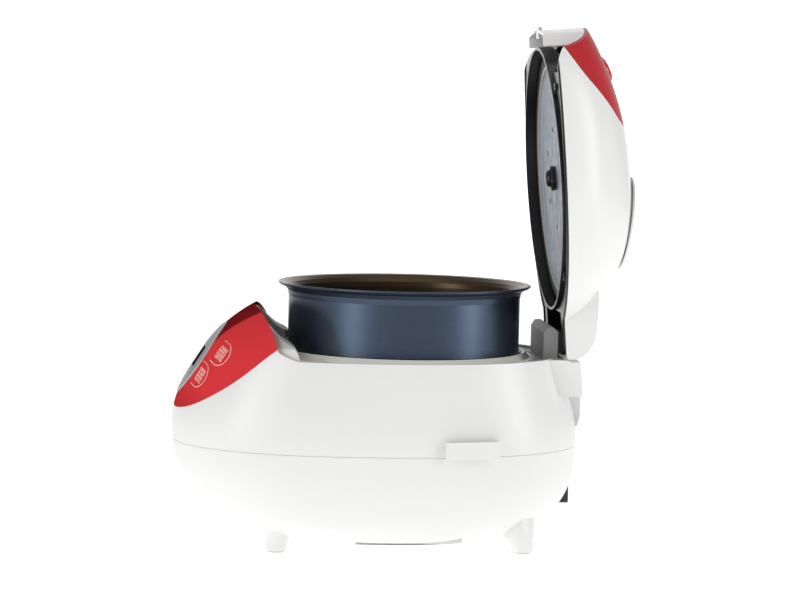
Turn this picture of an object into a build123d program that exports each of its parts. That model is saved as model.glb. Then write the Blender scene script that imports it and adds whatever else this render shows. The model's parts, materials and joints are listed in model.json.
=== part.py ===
from build123d import *
import math
import os

# Rice cooker: a rounded egg-shaped body with a lid hinged at the rear, standing open, and an inner
# pot lifted part of the way out. +X is the cooker's right side, the front faces -Y, +Z is up.
# The origin is on the floor, on the axis of the pot. Every lid piece is modelled shut and then
# swung open about the hinge pin, and the pot is modelled seated and then raised.

# ---- driving dimensions (mm, degrees) ----
FRONT_REACH = 200.8          # pot axis to the foremost point of the body
REAR_REACH = 152.5           # pot axis to the rearmost point of the body
HALF_WIDTH = 128.0           # pot axis to each side of the body
FORM_BOTTOM = 8.0            # underside of the body above the floor
FORM_TOP = 237.4             # top of the shut lid
SQUARENESS = 2.35            # exponent of the rounded plan outline: 2 is an ellipse
PARTING_Z = 88.4             # joint between the lower and upper housings
CLOSURE_Z = 165.3            # joint between the body and the lid
SHELL = 2.6                  # wall of the housings, fascia and lid shell
SEAM = 0.25                  # visible seam between fixed shells
LID_GAP = 0.6                # running gap between the lid and the body
FIT = 0.3                    # assembly clearance between fixed pieces

HINGE_Y = 143.0
HINGE_Z = 176.0
OPEN_ANGLE = 85.5            # lid angle at rest, measured from shut
PIN_R = 2.5
PIN_RUN = 0.05               # radial running clearance on the pin
KNUCKLE_R = 6.5
KNUCKLE_HALF = 44.0          # half length of the fixed knuckle
ARM_T = 13.0                 # width of each lid arm on the pin
ARM_X0 = KNUCKLE_HALF + 0.6  # inner face of each lid arm
STEM_Y0 = 118.0              # front of the stem that carries the knuckle
STEM_Y1 = 130.0
BULGE_HALF = 63.0            # half width of the lid's hinge bulge
BULGE_SWING_R = 12.5         # hinge axis to the part of the bulge that swings past the cover

POT_R = 101.0                # outside of the pot wall
POT_RIM_R = 110.0            # outside of the flared rim
POT_WALL = 2.0
POT_HEIGHT = 115.0
POT_RIM_Z = 172.0            # top of the rim when the pot is seated
POT_RAISE = 52.8             # how far the pot stands lifted at rest
LIP_GAP = 1.8                # between the pot wall and the ring that centres it
RING_R = 115.6               # outside of that ring
RING_DROP = 11.0             # depth of the ring below the deck
POT_FLOOR_Z = POT_RIM_Z - POT_HEIGHT

SEAM_ARC_R = 297.0           # plan radius of the seam between the fascia and the lid
SEAM_FRONT_Y = -130.2        # foremost point of that seam
DECK_Z = 163.0               # level of the deck around the pot ring
DECK_T = 2.6
CHANNEL_HALF = 50.0          # half width of the deck channel that takes the lid tongue
SHOULDER_INSET = 5.4         # depth of the deck shoulders under the outer form
TONGUE_HALF = CHANNEL_HALF - 1.2
TONGUE_T = 2.4
CATCH_HALF = 14.0            # half width of the latch catch
CATCH_Z0 = DECK_Z
CATCH_Z1 = 179.0
NOSE_Z = 165.0               # underside of the latch nose
NOSE_H = 3.6
NOSE_HALF = 7.0

PANEL_Y = -178.0             # centre of the round bezel on the fascia
PANEL_Z = 159.0
PANEL_TILT = 56.0            # tilt of the bezel axis forward from vertical
BEZEL_R = 37.0
BEZEL_PROUD = 0.8
WINDOW_W = 44.0
WINDOW_H = 20.0
KEY_HALF = 10.2              # half length of a key's flat side
KEY_REACH = 21.0             # flat side to the top of the round side
KEY_GAP = 0.35

SKIRT_R = 114.8              # outside of the lid's black skirt
SKIRT_T = 2.6
PLATE_R = 96.0
PLATE_Z = 174.0
PLATE_T = 1.2
LID_CEILING_Z = 180.0        # top of the black inner frame
FRAME_Z = 167.0              # underside of the frame's flat rim
FRAME_T = 2.6

BUTTON_Y = -92.3
BUTTON_Z = 221.2
BUTTON_TILT = 22.8           # tilt of the button axis forward from vertical
BUTTON_R = 13.4
BUTTON_GAP = 0.35

CAP_Y = 42.5                 # centre of the steam cap
CAP_Z = 233.2
CAP_TILT = -11.0
CAP_R = 41.0
CAP_SEAT_R = 36.0
CAP_GAP = 0.4

CASING_R = 106.0
CASING_T = 0.8
HEATER_R = 84.0
HEATER_T = 4.0
HEATER_GAP = 0.4             # between the seated pot and the heater plate
HEATER_Z = POT_FLOOR_Z - HEATER_GAP - HEATER_T
SENSOR_R = 14.0
SENSOR_TRAVEL = 2.4

PAD_R = 7.2
PAD_T = 2.4
COVER_W = 124.0
COVER_L = 118.0
COVER_Y = -6.0
COVER_T = 2.4
SCREW_R = 1.5
SCREW_HEAD_R = 3.2
SCREW_HEAD_H = 2.0
BOSS_R = 4.6

CUP_HALF = 29.0              # half width of the dew cup
CUP_WALL = 1.6
CUP_Y = 139.8                # inner top edge of the cup
CUP_BOTTOM = 103.0
CUP_TOP = 133.0
INLET_W = 30.0
INLET_H = 24.0
INLET_Y = 147.0
INLET_Z = 46.0
SCOOP_X = HALF_WIDTH - 5.0

# Height share, then the front, rear and side reach there as shares of the largest.
FORM_STATIONS = [
    (0.000, 0.647, 0.656, 0.669), (0.011, 0.697, 0.721, 0.733), (0.035, 0.759, 0.780, 0.801),
    (0.074, 0.827, 0.846, 0.865), (0.140, 0.896, 0.928, 0.924), (0.227, 0.956, 0.980, 0.972),
    (0.336, 0.995, 1.000, 0.998), (0.423, 1.000, 0.995, 1.000), (0.510, 0.980, 0.964, 0.988),
    (0.606, 0.925, 0.917, 0.972), (0.686, 0.867, 0.882, 0.950), (0.772, 0.784, 0.810, 0.905),
    (0.850, 0.662, 0.695, 0.818), (0.907, 0.523, 0.597, 0.690), (0.950, 0.381, 0.482, 0.530),
    (0.979, 0.239, 0.334, 0.359), (0.994, 0.100, 0.203, 0.215), (1.000, 0.020, 0.092, 0.080),
]
OUTLINE_POINTS = 24
TALL = 400.0                 # longer than anything it has to cut through


# ---- helpers ----
def box(x0, x1, y0, y1, z0, z1):
    return Pos((x0 + x1) / 2, (y0 + y1) / 2, (z0 + z1) / 2) * Box(x1 - x0, y1 - y0, z1 - z0)


def rod(radius, start, end):
    start, end = Vector(*start), Vector(*end)
    plane = Plane(origin=start, z_dir=end - start)
    return plane * Pos(0, 0, (end - start).length / 2) * Cylinder(radius, (end - start).length)


def upright(radius, x, y, z0, z1):
    return Pos(x, y, (z0 + z1) / 2) * Cylinder(radius, z1 - z0)


def spun(outline):
    """A turned piece about +Z from (radius, height) points."""
    face = make_face(Polyline([(r, 0, z) for r, z in outline], close=True))
    return revolve(face, Axis.Z)


def ring(inner, outer, z0, z1):
    return spun([(inner, z0), (outer, z0), (outer, z1), (inner, z1)])


def across(outline, x0, x1):
    """A prism along X from (y, z) points."""
    face = make_face(Polyline([(x0, y, z) for y, z in outline], close=True))
    return extrude(face, amount=x1 - x0, dir=(1, 0, 0))


def tilted(y, z, tilt):
    """A plane on the centre line whose normal leans forward from vertical by tilt."""
    lean = math.radians(tilt)
    return Plane(origin=(0, y, z), x_dir=(1, 0, 0), z_dir=(0, -math.sin(lean), math.cos(lean)))


def coil(radius, wire, length, turns):
    """A coil spring stood on z = 0, with its turns closed up into a corrugated sleeve."""
    step = length / turns
    outer = [(radius + wire * (k % 2), k * step / 2) for k in range(2 * turns + 1)]
    inner = [(r - wire, z) for r, z in reversed(outer)]
    return spun(outer + inner)


def screw(length):
    """A pan-head screw with its head on top and its shank hanging down from z = 0."""
    head = Pos(0, 0, SCREW_HEAD_H / 2) * Cylinder(SCREW_HEAD_R, SCREW_HEAD_H)
    shank = Pos(0, 0, -length / 2) * Cylinder(SCREW_R, length)
    slot = Pos(0, 0, SCREW_HEAD_H) * Box(3.6, 0.8, 1.6) + Pos(0, 0, SCREW_HEAD_H) * Box(0.8, 3.6, 1.6)
    return head + shank - slot


def group(pieces):
    return Compound(children=[s for piece in pieces for s in piece.solids()])


def swung_open(piece):
    return piece.rotate(Axis((0, HINGE_Y, HINGE_Z), (1, 0, 0)), -OPEN_ANGLE)


# ---- the form shared by the housings, fascia and lid ----
def section(z, front, rear, half_width):
    middle, reach = (rear - front) / 2, (rear + front) / 2
    power = 2 / SQUARENESS
    points = []
    for k in range(OUTLINE_POINTS):
        angle = 2 * math.pi * k / OUTLINE_POINTS
        c, s = math.cos(angle), math.sin(angle)
        x = half_width * math.copysign(abs(c) ** power, c)
        y = middle + reach * math.copysign(abs(s) ** power, s)
        points.append(Vector(x, y, z))
    return Wire(Edge.make_spline(points, periodic=True))


def form(inset):
    """The egg shape, drawn in by inset all round."""
    height = FORM_TOP - FORM_BOTTOM - 2 * inset
    wires = [section(FORM_BOTTOM + inset + share * height, front * (FRONT_REACH - inset),
                     rear * (REAR_REACH - inset), side * (HALF_WIDTH - inset))
             for share, front, rear, side in FORM_STATIONS]
    return Part() + Solid.make_loft(wires)


OUTER = form(0)
INNER = form(SHELL)
CORE = form(SHELL + FIT)
SKIN = OUTER - INNER

# Lower edge of the red fascia on the body, running on as the edge of the red field on the lid.
RED_EDGE = [(FRONT_REACH * -1.05, 114.5), (-197.8, 116.4), (-186.4, 120.8), (-170.4, 130.0),
            (-153.0, 141.6), (-135.7, 155.1), (-114.6, 172.6), (-91.0, 188.8), (-74.3, 202.4),
            (-58.9, 214.6), (-46.2, 224.8), (-38.0, FORM_TOP + 3)]
# The body's top edge, level to the rear and rising to the fascia at the front.
TOP_EDGE = [(-96.0, CLOSURE_Z), (-106.0, 168.6), (-115.5, 174.6), (-124.0, 186.0), (-136.0, 215.0)]
# Top of the deck shoulders, falling from the fascia to the deck.
SHOULDER_EDGE = [(-136.0, 206.0), (-130.0, 203.0), (-124.0, 196.6), (-115.3, 187.0),
                 (-108.0, 180.4), (-100.0, 176.0), (-95.5, 170.0), (-94.0, DECK_Z - 1)]


def above(points, shift):
    """Everything above a smooth edge given in (y, z), lifted by shift."""
    edge = Spline([(-TALL / 2, y, z + shift) for y, z in points])
    start, end = edge @ 0, edge @ 1
    rest = Polyline([end, (-TALL / 2, end.Y, TALL), (-TALL / 2, start.Y, TALL), start])
    return extrude(make_face(Wire([edge] + rest.edges())), amount=TALL, dir=(1, 0, 0))


def red_zone(shift):
    return above(RED_EDGE, shift)


def lid_zone(gap):
    """Everything that belongs to the lid: behind the fascia seam and above the body's top edge."""
    level = box(-TALL / 2, TALL / 2, TOP_EDGE[0][0], TALL, CLOSURE_Z + gap, TALL)
    rise = above(TOP_EDGE, gap)
    return (level + rise) & upright(SEAM_ARC_R - gap, 0, SEAM_FRONT_Y + SEAM_ARC_R, 0, TALL)


RED_BODY = red_zone(0)
BODY_CUT = lid_zone(0)
LID_CUT = lid_zone(LID_GAP)
PANEL = tilted(PANEL_Y, PANEL_Z, PANEL_TILT)
BUTTON = tilted(BUTTON_Y, BUTTON_Z, BUTTON_TILT)
CAP = tilted(CAP_Y, CAP_Z, CAP_TILT)


# ---- lower housing and base ----
FEET = [(75.0, -110.5), (-75.0, -110.5), (72.0, 100.3), (-72.0, 100.3)]
FRONT_FLARE = [(0.0, 9.2, 0.0), (12.0, 10.8, 1.0), (24.0, 17.5, 4.5)]      # height, radius, inward shift
REAR_FLARE = [(0.0, 9.3, 0.0), (14.0, 14.0, 3.5), (32.0, 23.5, 12.5)]
COVER_SCREWS = [(sx * (COVER_W / 2 - 9), COVER_Y + sy * (COVER_L / 2 - 9))
                for sx in (-1, 1) for sy in (-1, 1)]
CASE_SCREWS = [(92.0, -95.0), (-92.0, -95.0), (88.0, 80.0), (-88.0, 80.0)]
CASE_BOSS_TOP = PARTING_Z - SEAM


def foot(x, y):
    """A leg that flares into the housing, leaning in towards the middle of the base."""
    flare = FRONT_FLARE if y < 0 else REAR_FLARE
    wires = [Pos(x - math.copysign(shift, x), y - math.copysign(shift, y), PAD_T / 2 + z) *
             Wire.make_circle(radius) for z, radius, shift in flare]
    return Part() + Solid.make_loft(wires)


def lower_housing():
    shell = SKIN - box(-TALL, TALL, -TALL, TALL, PARTING_Z - SEAM, TALL)
    feet = Part() + [foot(x, y) for x, y in FEET]
    bosses = Part() + [upright(BOSS_R, x, y, FORM_BOTTOM + 2, CASE_BOSS_TOP) for x, y in CASE_SCREWS]
    shell = shell + (feet - INNER) + (bosses & OUTER)
    floor = FORM_BOTTOM + COVER_T
    ledge = box(-COVER_W / 2 - 4, COVER_W / 2 + 4, COVER_Y - COVER_L / 2 - 4, COVER_Y + COVER_L / 2 + 4,
                floor, floor + COVER_T)
    shell = shell + ledge
    outer_hole = box(-COVER_W / 2, COVER_W / 2, COVER_Y - COVER_L / 2, COVER_Y + COVER_L / 2, 0, floor)
    inner_hole = box(-COVER_W / 2 + 18, COVER_W / 2 - 18, COVER_Y - COVER_L / 2 + 18,
                     COVER_Y + COVER_L / 2 - 18, 0, floor + 2 * COVER_T)
    holes = [upright(SCREW_R, x, y, 0, floor + 2 * COVER_T) for x, y in COVER_SCREWS]
    holes += [upright(SCREW_R, x, y, CASE_BOSS_TOP - 24, CASE_BOSS_TOP) for x, y in CASE_SCREWS]
    holes += [upright(PAD_R + 0.1, x, y, 0, PAD_T + 1.2) for x, y in FEET]
    grips = [box(side * 90 - 5, side * 90 + 5, -44, 46, 8.5, 21) for side in (-1, 1)]
    shell = shell - outer_hole - inner_hole - holes
    pockets = (Part() + grips) & OUTER
    liner = ((Part() + [box(side * 84 - 2, side * 84 + 2, -46, 48, FORM_BOTTOM + 1, 24)
                        for side in (-1, 1)]) & OUTER)
    lids = ((Part() + [box(side * 86 - 12, side * 86 + 12, -46, 48, 21, 23.4) for side in (-1, 1)])
            & OUTER)
    ends = ((Part() + [box(side * 86 - 12, side * 86 + 12, y - 1, y + 1, 8.5, 23.4)
                       for side in (-1, 1) for y in (-45, 47)]) & OUTER)
    inlet_hole = box(-INLET_W / 2 - FIT, INLET_W / 2 + FIT, 120, TALL, INLET_Z - INLET_H / 2 - FIT,
                     INLET_Z + INLET_H / 2 + FIT)
    return (shell - pockets + liner + lids + ends) - inlet_hole - outer_hole


def foot_pads():
    return group([upright(PAD_R, x, y, 0, PAD_T + 1.1) for x, y in FEET])


def bottom_cover():
    width, length = COVER_W / 2 - FIT, COVER_L / 2 - FIT
    plate = box(-width, width, COVER_Y - length, COVER_Y + length, FORM_BOTTOM, FORM_BOTTOM + COVER_T - 0.1)
    plate = fillet(plate.edges().filter_by(Axis.Z), 1.2)
    vents = [box(-26, 26, COVER_Y + y - 1.2, COVER_Y + y + 1.2, 0, 20) for y in range(-30, 31, 10)]
    holes = [upright(SCREW_R + 0.2, x, y, 0, 20) for x, y in COVER_SCREWS]
    return plate - vents - holes


def bottom_screws():
    return group([Pos(x, y, FORM_BOTTOM) * Rot(180, 0, 0) * screw(COVER_T * 2 - 0.4)
                  for x, y in COVER_SCREWS])


# ---- upper housing ----
def upper_housing():
    shell = SKIN - box(-TALL, TALL, -TALL, TALL, -1, PARTING_Z) - BODY_CUT - RED_BODY
    bosses = []
    for x, y in CASE_SCREWS:
        bosses.append(upright(BOSS_R, x, y, PARTING_Z, PARTING_Z + 22))
        angle = math.degrees(math.atan2(y, x))
        bosses.append(Pos(x, y, PARTING_Z + 11) * Rot(0, 0, angle) * Pos(30, 0, 0) * Box(60, 2, 22))
    shell = shell + ((Part() + bosses) & OUTER)
    holes = [upright(SCREW_R + 0.2, x, y, 0, PARTING_Z + 20) for x, y in CASE_SCREWS]
    pockets = [upright(SCREW_HEAD_R + FIT, x, y, PARTING_Z + 4, PARTING_Z + 30) for x, y in CASE_SCREWS]
    notch = box(-KNUCKLE_HALF - FIT, KNUCKLE_HALF + FIT, STEM_Y0 - FIT, TALL, DECK_Z - DECK_T - FIT, TALL)
    cup_recess = box(-CUP_HALF - 2 * FIT, CUP_HALF + 2 * FIT, CUP_Y - 2 * FIT, TALL,
                     CUP_BOTTOM - 2 * FIT, CUP_TOP + FIT)
    return shell - holes - pockets - notch - cup_recess


def housing_screws():
    return group([Pos(x, y, PARTING_Z + 4) * screw(22) for x, y in CASE_SCREWS])


# ---- fascia and controls ----
def key_outline(side, offset, flat, grow):
    """A D shape on the panel plane, with its round side outward."""
    half = KEY_HALF + grow
    start = side * (flat - grow)
    turn = side * (flat + KEY_REACH - KEY_HALF)
    tip = side * (flat + KEY_REACH + grow)
    line = Polyline([(turn, offset - half), (start, offset - half), (start, offset + half),
                     (turn, offset + half)])
    arc = ThreePointArc((turn, offset + half), (tip, offset), (turn, offset - half))
    return make_face(Wire(line.edges() + [arc]))


KEYS = {"key_menu": (1, 17.0, 50.0), "key_timer": (1, -9.5, 43.0),
        "key_warm": (-1, 17.0, 50.0), "key_cancel": (-1, -9.5, 43.0)}


def key_prism(name, grow):
    side, offset, flat = KEYS[name]
    return PANEL * Pos(0, 0, -70) * extrude(key_outline(side, offset, flat, grow), amount=110)


def window_prism(grow):
    outline = RectangleRounded(WINDOW_W + 2 * grow, WINDOW_H + 2 * grow, 3 + grow)
    return PANEL * Pos(0, 0, -30) * extrude(outline, amount=60)


def bezel_prism(grow):
    return PANEL * Cylinder(BEZEL_R + grow, 60)


def control_fascia():
    shell = (SKIN & red_zone(SEAM)) - BODY_CUT - bezel_prism(SEAM)
    for name in KEYS:
        shell = shell - key_prism(name, KEY_GAP)
    return shell


def bezel_disc():
    return ((form(-BEZEL_PROUD) - INNER) & bezel_prism(0)) - window_prism(0.2)


def display_window():
    return SKIN & window_prism(0)


def key(name):
    return SKIN & key_prism(name, 0)


def display_module():
    return PANEL * Pos(0, 0, -9) * Box(WINDOW_W + 6, WINDOW_H + 6, 5)


def control_board():
    board = PANEL * Pos(0, 2, -24) * Box(124, 44, 1.6)
    holes = [PANEL * Pos(x, 2 + y, -24) * Cylinder(1.8, 5) for x in (-58, 58) for y in (-18, 18)]
    return board - holes


def tact_switches():
    pieces = []
    for side, offset, flat in KEYS.values():
        seat = PANEL * Pos(side * (flat + 4), offset, -23.2)
        pieces.append(seat * Pos(0, 0, 1.8) * Box(6, 6, 3.4) + seat * Pos(0, 0, 4) * Cylinder(1.7, 1.4))
    return group(pieces)


# ---- deck, ring and latch catch ----
def deck_plate():
    plate = CORE & box(-TALL / 2, TALL / 2, SEAM_FRONT_Y, TALL, DECK_Z - DECK_T, DECK_Z)
    return plate - upright(RING_R + FIT, 0, 0, 0, TALL)


def deck_shoulders():
    """The raised deck each side of the channel, falling back from the fascia."""
    edge = Spline([(-TALL / 2, y, z) for y, z in SHOULDER_EDGE])
    foot_z = DECK_Z - DECK_T
    base = Polyline([edge @ 1, (-TALL / 2, SHOULDER_EDGE[-1][0], foot_z),
                     (-TALL / 2, SHOULDER_EDGE[0][0], foot_z), edge @ 0])
    block = extrude(make_face(Wire([edge] + base.edges())), amount=TALL, dir=(1, 0, 0))
    block = block & upright(SEAM_ARC_R, 0, SEAM_FRONT_Y + SEAM_ARC_R, 0, TALL)
    block = block - box(-CHANNEL_HALF, CHANNEL_HALF, -TALL, 0, 0, TALL)
    return (form(SHOULDER_INSET) & block) - upright(RING_R + FIT, 0, 0, 0, TALL)


def front_deck():
    middle = SEAM_FRONT_Y + SEAM_ARC_R
    wall = upright(SEAM_ARC_R + DECK_T, 0, middle, DECK_Z - DECK_T, TALL)
    wall = wall - upright(SEAM_ARC_R, 0, middle, 0, TALL)
    wall = CORE & (wall & box(-TALL / 2, TALL / 2, -TALL, -60, 0, TALL))
    plate = deck_plate() & box(-TALL, TALL, -TALL, 0, 0, TALL)
    slot = box(-CATCH_HALF - FIT, CATCH_HALF + FIT, -TALL, -110, CATCH_Z0 - FIT, CATCH_Z1 + FIT)
    return plate + wall + deck_shoulders() - slot


def rear_deck():
    seat = box(-KNUCKLE_HALF - FIT, KNUCKLE_HALF + FIT, STEM_Y0 - FIT, TALL, 0, TALL)
    return (deck_plate() & box(-TALL, TALL, 0, TALL, 0, TALL)) - seat


def pot_ring():
    inner = POT_R + LIP_GAP
    wall = inner + 2.6
    return spun([(inner, DECK_Z - RING_DROP), (inner, DECK_Z + 2.0), (inner + 1.6, DECK_Z + 4.2),
                 (inner + 3.6, DECK_Z + 4.6), (POT_RIM_R + 0.6, DECK_Z), (RING_R, DECK_Z - 0.3),
                 (RING_R, DECK_Z - 4.5), (wall, DECK_Z - 4.5), (wall, DECK_Z - RING_DROP)])


def latch_catch():
    front = SEAM_FRONT_Y - DECK_T - 3
    liner = box(-CATCH_HALF, CATCH_HALF, front, SEAM_FRONT_Y, CATCH_Z0, CATCH_Z1)
    slot = box(-NOSE_HALF - 1, NOSE_HALF + 1, front + 1.6, TALL, NOSE_Z - 1, NOSE_Z + NOSE_H + LID_GAP)
    return liner - slot


# ---- heating ----
def inner_casing():
    top = DECK_Z - 11.4
    floor = HEATER_Z - 6
    tub = spun([(HEATER_R - 14, floor), (CASING_R + CASING_T, floor), (CASING_R + CASING_T, top - CASING_T),
                (CASING_R + 7, top - CASING_T), (CASING_R + 7, top), (CASING_R, top),
                (CASING_R, floor + CASING_T), (HEATER_R - 14, floor + CASING_T)])
    return tub - heater_screw_holes()


def heater_screw_holes():
    return [Rot(0, 0, 120 * k + 30) * upright(SCREW_R + 0.05, HEATER_R - 10.5, 0, HEATER_Z - 20, HEATER_Z)
            for k in range(3)]


def heater_plate():
    z = HEATER_Z
    plate = spun([(SENSOR_R + 1, z), (HEATER_R, z), (HEATER_R, z + HEATER_T - 1), (HEATER_R - 1, z + HEATER_T),
                  (SENSOR_R + 1, z + HEATER_T)])
    legs = ring(HEATER_R - 13.5, HEATER_R - 7.5, z - 6 + CASING_T, z)
    return plate + legs - heater_screw_holes()


def heating_element():
    loop = Pos(0, 0, HEATER_Z - 3.4) * Torus(52, 3.2)
    tails = [rod(3, (x, 50, HEATER_Z - 3.4), (x, 58, HEATER_Z - 16)) for x in (-8, 8)]
    return loop + tails


def heater_screws():
    return group([Rot(0, 0, 120 * k + 30) * Pos(HEATER_R - 10.5, 0, HEATER_Z - 6) * Rot(180, 0, 0) * screw(5.4)
                  for k in range(3)])


def center_sensor():
    z = HEATER_Z + HEATER_T + HEATER_GAP - 0.1 + SENSOR_TRAVEL
    return spun([(0, z), (SENSOR_R - 0.8, z), (SENSOR_R, z - 0.8), (SENSOR_R, z - 9), (8, z - 9),
                 (8, z - 7), (0, z - 7)])


def sensor_spring():
    return Pos(0, 0, HEATER_Z - 22) * coil(6.2, 1.2, 16.5, 5)


def sensor_bracket():
    z = HEATER_Z - 22
    return spun([(0, z - 2), (HEATER_R - 15, z - 2), (HEATER_R - 15, z), (0, z)]) - [
        Rot(0, 0, 90 * k + 45) * Pos(40, 0, z) * Cylinder(16, 10) for k in range(4)]


def side_heater_band():
    return ring(CASING_R + CASING_T + 0.05, CASING_R + CASING_T + 1.8, 96, 118)


def thermal_fuse():
    outer = CASING_R + CASING_T + 0.05
    body = box(outer, outer + 7, -9, 9, 70, 82)
    tube = rod(2.4, (outer + 9, -14, 76), (outer + 9, 14, 76))
    return body + tube


def power_board():
    board = box(-48, 48, -160, -112, 40, 41.6)
    return board - [upright(1.8, x, y, 30, 50) for x in (-44, 44) for y in (-156, -116)]


def transformer():
    core = box(-40, -12, -150, -122, 41.6, 66)
    windings = box(-35, -17, -154, -118, 46, 62)
    return core + windings


def board_parts():
    relay = box(4, 22, -150, -122, 41.6, 57)
    return group([relay] + [upright(5, x, -132, 41.6, 60) for x in (30, 42)])


# ---- rear: inlet, hinge cover, dew cup, scoop holder ----


def power_inlet():
    body = box(-INLET_W / 2, INLET_W / 2, 118, INLET_Y, INLET_Z - INLET_H / 2, INLET_Z + INLET_H / 2)
    socket = box(-INLET_W / 2 + 3, INLET_W / 2 - 3, 130, TALL, INLET_Z - INLET_H / 2 + 3,
                 INLET_Z + INLET_H / 2 - 3)
    holes = [rod(1.4, (x, 110, INLET_Z), (x, 140, INLET_Z)) for x in (-6, 6)]
    return fillet(body.edges().filter_by(Axis.Y), 3) - socket - holes


def inlet_pins():
    return group([rod(1.4, (x, 112, INLET_Z), (x, 143, INLET_Z)) for x in (-6, 6)])


HINGE_BLOCK = [(112.0, 133.6), (112.0, 164.8), (147.4, 164.8), (148.2, 154.6), (148.8, 154.0),
               (150.2, 133.6)]
HINGE_BLOCK_ROOM = [(112.0, 136.0), (112.0, 160.4), (144.6, 160.4), (147.4, 136.0)]
HINGE_BLOCK_T = 2.4
CUP_OUTLINE = [(CUP_Y + y, z) for y, z in ((0.0, CUP_TOP), (12.8, CUP_TOP), (13.6, 113.0), (11.6, 105.0),
                                           (9.2, CUP_BOTTOM), (7.6, CUP_BOTTOM))]
CUP_CAVITY = [(CUP_Y + y, z) for y, z in ((1.8, CUP_TOP + 1), (11.2, CUP_TOP + 1), (12.0, 113.2),
                                          (10.2, 106.2), (9.2, 105.0))]


def rear_hinge_cover():
    """The cover under the hinge, hollowed along its top where the lid's bulge swings past."""
    block = across(HINGE_BLOCK, -BULGE_HALF, BULGE_HALF) - OUTER
    block = block - rod(BULGE_SWING_R + LID_GAP, (-TALL, HINGE_Y, HINGE_Z), (TALL, HINGE_Y, HINGE_Z))
    room = across(HINGE_BLOCK_ROOM, -BULGE_HALF + HINGE_BLOCK_T, BULGE_HALF - HINGE_BLOCK_T)
    seat = box(-KNUCKLE_HALF - FIT, KNUCKLE_HALF + FIT, STEM_Y0 - FIT, STEM_Y1 + 2, 0, TALL)
    return block - room - seat


def dew_cup():
    cup = across(CUP_OUTLINE, -CUP_HALF, CUP_HALF)
    cup = cup - across(CUP_CAVITY, -CUP_HALF + CUP_WALL, CUP_HALF - CUP_WALL)
    tab = box(-11, 11, CUP_Y + 13.6, CUP_Y + 16.2, 119.5, 144.0)
    tab = tab + box(-11, 11, CUP_Y + 12.2, CUP_Y + 14.6, 119.5, 124.0)
    return cup + (tab - across(CUP_CAVITY, -CUP_HALF, CUP_HALF))


def scoop_holder():
    bracket = Box(8, 47, 15)
    slot = Pos(0.6, 0, 0) * Box(3.2, 38, 20)
    bracket = fillet(bracket.edges().filter_by(Axis.Z), 2.4) - slot
    return (Pos(SCOOP_X, 50.5, 94.5) * Rot(0, 0, 13.5) * bracket) - OUTER


# ---- hinge ----
def hinge_bracket():
    stem = [(STEM_Y0, DECK_Z - DECK_T), (STEM_Y0, 186.0), (121.0, 190.6), (126.0, 191.2), (129.6, 188.0),
            (HINGE_Y, HINGE_Z + KNUCKLE_R), (HINGE_Y, HINGE_Z - KNUCKLE_R), (131.0, 168.6),
            (STEM_Y1, DECK_Z - DECK_T)]
    eye = rod(KNUCKLE_R, (-KNUCKLE_HALF, HINGE_Y, HINGE_Z), (KNUCKLE_HALF, HINGE_Y, HINGE_Z))
    body = across(stem, -KNUCKLE_HALF, KNUCKLE_HALF) + eye
    bore = rod(PIN_R, (-TALL, HINGE_Y, HINGE_Z), (TALL, HINGE_Y, HINGE_Z))
    pocket = box(-16, 16, HINGE_Y - KNUCKLE_R - 1, TALL, HINGE_Z - KNUCKLE_R - 1, HINGE_Z + KNUCKLE_R + 1)
    return body - bore - pocket


def hinge_pin():
    reach = KNUCKLE_HALF + ARM_T + 2
    return rod(PIN_R, (-reach, HINGE_Y, HINGE_Z), (reach, HINGE_Y, HINGE_Z))


def hinge_spring():
    spring = coil(PIN_R + 2.2, 1.2, 30, 10)
    return Pos(-15, HINGE_Y, HINGE_Z) * Rot(0, 90, 0) * spring


# ---- lid, modelled shut ----
BULGE = [(70.0, CLOSURE_Z + LID_GAP), (70.0, 192.0), (100.0, 198.6), (118.0, 196.6), (129.0, 195.4),
         (138.0, 192.8), (146.6, 188.0), (152.2, 180.8), (153.0, 176.0), (153.0, 168.6),
         (140.0, CLOSURE_Z + LID_GAP)]
BULGE_ROOM = [(60.0, CLOSURE_Z - 5), (60.0, 189.4), (100.0, 196.0), (117.6, 194.0), (128.4, 192.8),
              (136.8, 190.4), (144.6, 186.2), (149.8, 179.6), (150.4, 175.0), (150.4, CLOSURE_Z - 5)]
LID_SCREWS = [(92.0, -80.0), (-92.0, -80.0), (90.0, 80.0), (-90.0, 80.0)]


def lid_skin():
    room = across(BULGE_ROOM, -BULGE_HALF + SHELL, BULGE_HALF - SHELL)
    bulge = across(BULGE, -BULGE_HALF, BULGE_HALF) - room - INNER
    return (SKIN & LID_CUT) - room + bulge


def cap_hole():
    return CAP * Pos(0, 0, -4) * Cylinder(CAP_SEAT_R + 2.6, 30)


def lid_shell():
    bosses = Part() + [upright(BOSS_R, x, y, FRAME_Z + FRAME_T, 205) for x, y in LID_SCREWS]
    shell = lid_skin() + (bosses & OUTER) - red_zone(-SEAM) - cap_hole()
    return shell - [upright(SCREW_R, x, y, 0, 182) for x, y in LID_SCREWS]


def lid_fascia():
    return (SKIN & LID_CUT & RED_BODY) - (BUTTON * Cylinder(BUTTON_R + BUTTON_GAP, 60))


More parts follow.
